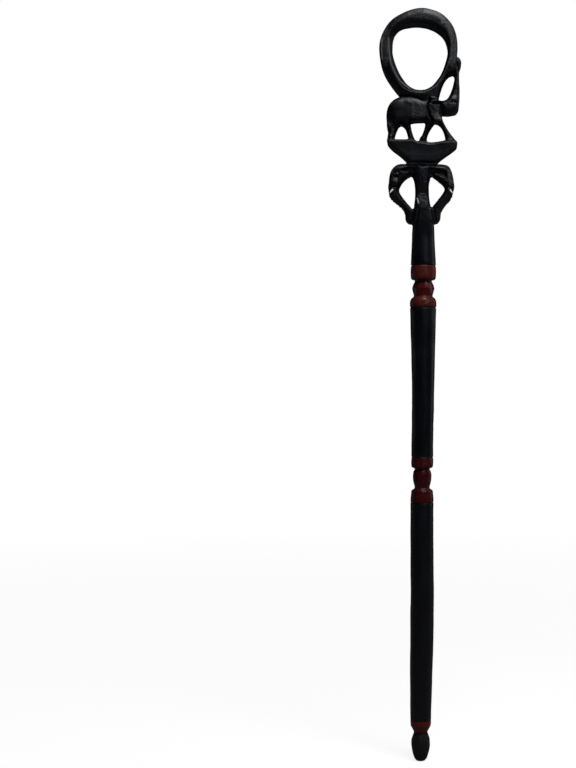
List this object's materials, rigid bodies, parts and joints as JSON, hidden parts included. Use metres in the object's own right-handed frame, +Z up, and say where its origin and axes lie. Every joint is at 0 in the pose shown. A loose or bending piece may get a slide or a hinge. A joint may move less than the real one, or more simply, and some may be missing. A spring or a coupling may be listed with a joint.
{
  "type": "walking stick",
  "caption": "Carved take-down walking stick: loop handle, elephant on a plinth, paired elephant heads with tusks, turned spool joints and a bulb foot.",
  "frame": {"origin": "centre of the foot's small worn flat, on the ground", "axes": "+Z up along the round shaft; the standing elephant on the handle faces +X"},
  "size_m": [0.0998, 0.038, 0.9118],
  "materials": {
    "black_wood": "blackened hardwood, waxed to a satin gloss, with knife facets and worn grey edges",
    "red_wood": "dark red hardwood, glossy",
    "foot_black": "blackened hardwood, matt and scuffed",
    "bone": "polished bone",
    "steel": "zinc-plated screw",
    "brass": "machined brass",
    "pale_wood": "plain dowel"
  },
  "bodies": {
    "head_section": {"carved_head": "black_wood", "tusk_left_front": "bone", "tusk_left_back": "bone", "tusk_right_front": "bone", "tusk_right_back": "bone", "upper_spool": "red_wood", "upper_insert": "brass"},
    "upper_screw": {"upper_stud": "steel"},
    "middle_section": {"middle_shaft": "black_wood", "lower_spool": "red_wood", "lower_insert": "brass"},
    "lower_screw": {"lower_stud": "steel"},
    "lower_section": {"lower_shaft": "black_wood", "foot_collar": "red_wood", "foot_tip": "foot_black", "foot_dowel": "pale_wood"}
  },
  "joints": [
    {"name": "upper_draw", "type": "slide", "parent": "head_section", "child": "upper_screw", "axis": [0, 0, -1], "range_m": [0, 0.01751]},
    {"name": "upper_unscrew", "type": "hinge", "parent": "upper_screw", "child": "middle_section", "pos_m": [0, 0, 0.5498], "axis": [0, 0, -1], "range_deg": [0, 5040]},
    {"name": "lower_draw", "type": "slide", "parent": "middle_section", "child": "lower_screw", "axis": [0, 0, -1], "range_m": [0, 0.01751]},
    {"name": "lower_unscrew", "type": "hinge", "parent": "lower_screw", "child": "lower_section", "pos_m": [0, 0, 0.3134], "axis": [0, 0, -1], "range_deg": [0, 5040]}
  ],
  "couplings": [
    {"joint": "upper_draw", "follows": "upper_unscrew", "m_per_rad": 0.00019894},
    {"joint": "lower_draw", "follows": "lower_unscrew", "m_per_rad": 0.00019894}
  ]
}
